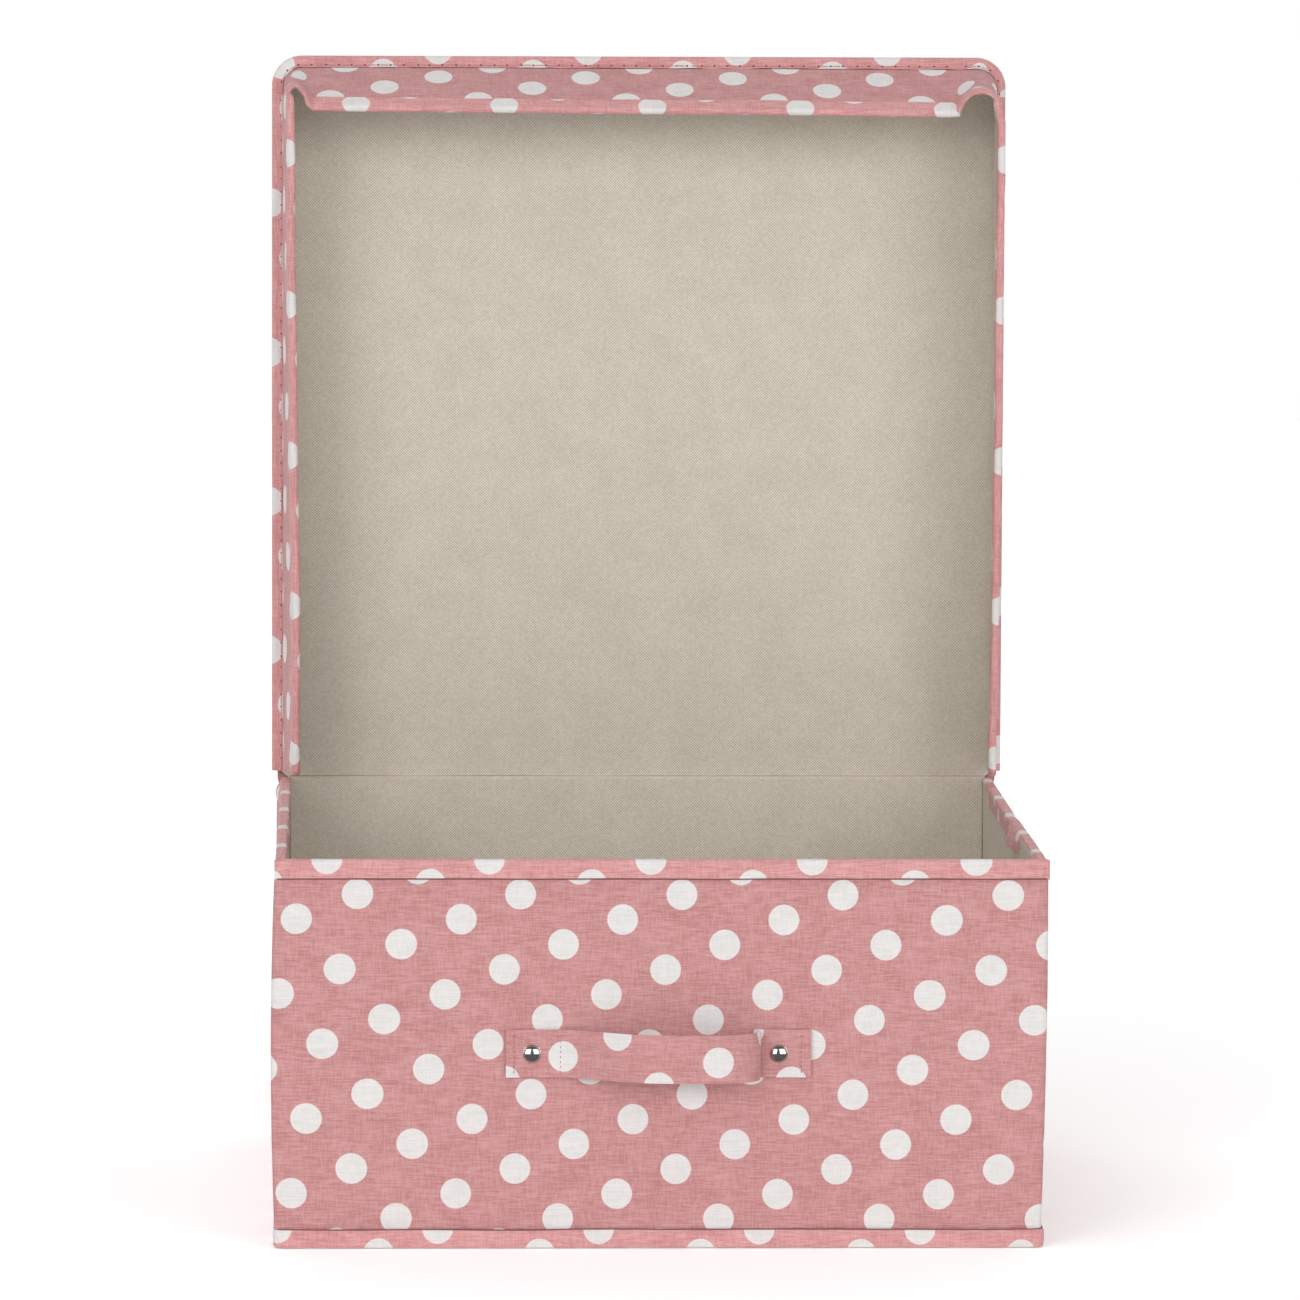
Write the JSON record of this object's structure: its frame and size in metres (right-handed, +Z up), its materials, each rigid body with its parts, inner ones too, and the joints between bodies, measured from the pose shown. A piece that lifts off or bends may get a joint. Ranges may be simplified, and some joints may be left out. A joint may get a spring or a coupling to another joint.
{
  "type": "fabric storage box",
  "caption": "Square cloth-covered box with a hinged, rimmed lid, a riveted front strap handle and side walls creased so that it folds flat.",
  "frame": {"origin": "on the floor, under the middle of the bounding box with the lid upright and the handle at rest", "axes": "+Z up from the floor, +X to the right seen from the front, +Y to the back; the handle is on the -Y side and the lid's hinge on the +Y side"},
  "size_m": [0.4084, 0.4248, 0.6051],
  "materials": {
    "cover_cloth": "heathered pink cloth with white spots",
    "binding_tape": "light pink folded tape",
    "strap_cloth": "spotted cloth folded double and stitched",
    "lining_cloth": "woven beige non-woven lining",
    "board": "grey board, hidden between cover and lining",
    "rivet_metal": "bright domed cap",
    "washer_metal": "plain plated"
  },
  "bodies": {
    "base": {"bottom_cover": "cover_cloth", "bottom_hem_front": "binding_tape", "bottom_hem_back": "binding_tape", "bottom_hem_left": "binding_tape", "bottom_hem_right": "binding_tape", "base_insert_board": "board", "base_insert_lining": "lining_cloth", "back_board": "board", "back_cover": "cover_cloth", "back_lining": "lining_cloth", "hinge_strip": "cover_cloth", "hinge_lining": "lining_cloth"},
    "left_rear": {"left_rear_board": "board", "left_rear_cover": "cover_cloth", "left_rear_lining": "lining_cloth", "left_rear_binding": "binding_tape"},
    "left_front": {"left_front_board": "board", "left_front_cover": "cover_cloth", "left_front_lining": "lining_cloth", "left_front_binding": "binding_tape"},
    "right_rear": {"right_rear_board": "board", "right_rear_cover": "cover_cloth", "right_rear_lining": "lining_cloth", "right_rear_binding": "binding_tape"},
    "right_front": {"right_front_board": "board", "right_front_cover": "cover_cloth", "right_front_lining": "lining_cloth", "right_front_binding": "binding_tape"},
    "front_wall": {"front_board": "board", "front_cover": "cover_cloth", "front_lining": "lining_cloth", "front_binding": "binding_tape", "handle_tab_left": "strap_cloth", "handle_tab_right": "strap_cloth", "rivet_left": "rivet_metal", "rivet_right": "rivet_metal", "rivet_washer_left": "washer_metal", "rivet_washer_right": "washer_metal"},
    "handle": {"handle_loop": "strap_cloth"},
    "lid": {"lid_board": "board", "lid_cover": "cover_cloth", "lid_lining": "lining_cloth", "lid_edge_binding": "binding_tape"},
    "rim_front": {"rim_front_board": "board", "rim_front_cover": "cover_cloth", "rim_front_lining": "lining_cloth", "rim_front_binding": "binding_tape"},
    "rim_left": {"rim_left_board": "board", "rim_left_cover": "cover_cloth", "rim_left_lining": "lining_cloth", "rim_left_binding": "binding_tape"},
    "rim_right": {"rim_right_board": "board", "rim_right_cover": "cover_cloth", "rim_right_lining": "lining_cloth", "rim_right_binding": "binding_tape"},
    "corner_left": {"corner_left_gusset": "cover_cloth"},
    "corner_right": {"corner_right_gusset": "cover_cloth"}
  },
  "joints": [
    {"name": "lid_hinge", "type": "hinge", "parent": "base", "child": "lid", "pos_m": [0, 0.2068, 0.2025], "axis": [-1, 0, 0], "range_deg": [-90, 112], "deforming": ["hinge_strip", "hinge_lining", "rim_left_board", "rim_left_cover", "rim_left_lining", "rim_left_binding", "rim_right_board", "rim_right_cover", "rim_right_lining", "rim_right_binding", "corner_left_gusset", "corner_right_gusset"]},
    {"name": "rim_front_fold", "type": "hinge", "parent": "lid", "child": "rim_front", "pos_m": [0, 0.2071, 0.6007], "axis": [1, 0, 0], "range_deg": [-27.05, 33.65]},
    {"name": "rim_left_fold", "type": "hinge", "parent": "lid", "child": "rim_left", "pos_m": [-0.1998, 0.2071, 0.2025], "axis": [0, 0, 1], "range_deg": [-10.55, 13.12]},
    {"name": "rim_right_fold", "type": "hinge", "parent": "lid", "child": "rim_right", "pos_m": [0.1998, 0.2071, 0.2025], "axis": [0, 0, -1], "range_deg": [-4.65, 5.77]},
    {"name": "corner_left_fold", "type": "hinge", "parent": "lid", "child": "corner_left", "pos_m": [-0.1998, 0.2071, 0.6007], "axis": [0.7071, 0, 0.7071], "range_deg": [-18.05, 22.45]},
    {"name": "corner_right_fold", "type": "hinge", "parent": "lid", "child": "corner_right", "pos_m": [0.1998, 0.2071, 0.6007], "axis": [0.7071, 0, -0.7071], "range_deg": [-18.05, 22.45]},
    {"name": "wall_fold", "type": "hinge", "parent": "base", "child": "left_rear", "pos_m": [-0.1935, 0.2013, 0.1], "axis": [0, 0, 1], "range_deg": [0, 84]},
    {"name": "left_crease_fold", "type": "hinge", "parent": "left_rear", "child": "left_front", "pos_m": [-0.199, 0.0088, 0.1], "axis": [0, 0, 1], "range_deg": [-168, 0]},
    {"name": "left_corner_fold", "type": "hinge", "parent": "left_front", "child": "front_wall", "pos_m": [-0.1935, -0.1837, 0.1], "axis": [0, 0, 1], "range_deg": [0, 84]},
    {"name": "right_wall_fold", "type": "hinge", "parent": "base", "child": "right_rear", "pos_m": [0.1935, 0.2013, 0.1], "axis": [0, 0, 1], "range_deg": [-84, 0]},
    {"name": "right_crease_fold", "type": "hinge", "parent": "right_rear", "child": "right_front", "pos_m": [0.199, 0.0088, 0.1], "axis": [0, 0, 1], "range_deg": [0, 168]},
    {"name": "handle_swing", "type": "hinge", "parent": "front_wall", "child": "handle", "pos_m": [0, -0.1899, 0.1017], "axis": [1, 0, 0], "range_deg": [-25, 25]}
  ],
  "couplings": [
    {"joint": "rim_front_fold", "follows": "lid_hinge", "ratio": 0.3},
    {"joint": "rim_left_fold", "follows": "lid_hinge", "ratio": 0.11667},
    {"joint": "rim_right_fold", "follows": "lid_hinge", "ratio": 0.051111},
    {"joint": "corner_left_fold", "follows": "lid_hinge", "ratio": 0.2},
    {"joint": "corner_right_fold", "follows": "lid_hinge", "ratio": 0.2},
    {"joint": "left_crease_fold", "follows": "wall_fold", "ratio": -2},
    {"joint": "left_corner_fold", "follows": "wall_fold", "ratio": 1},
    {"joint": "right_wall_fold", "follows": "wall_fold", "ratio": -1},
    {"joint": "right_crease_fold", "follows": "wall_fold", "ratio": 2}
  ]
}
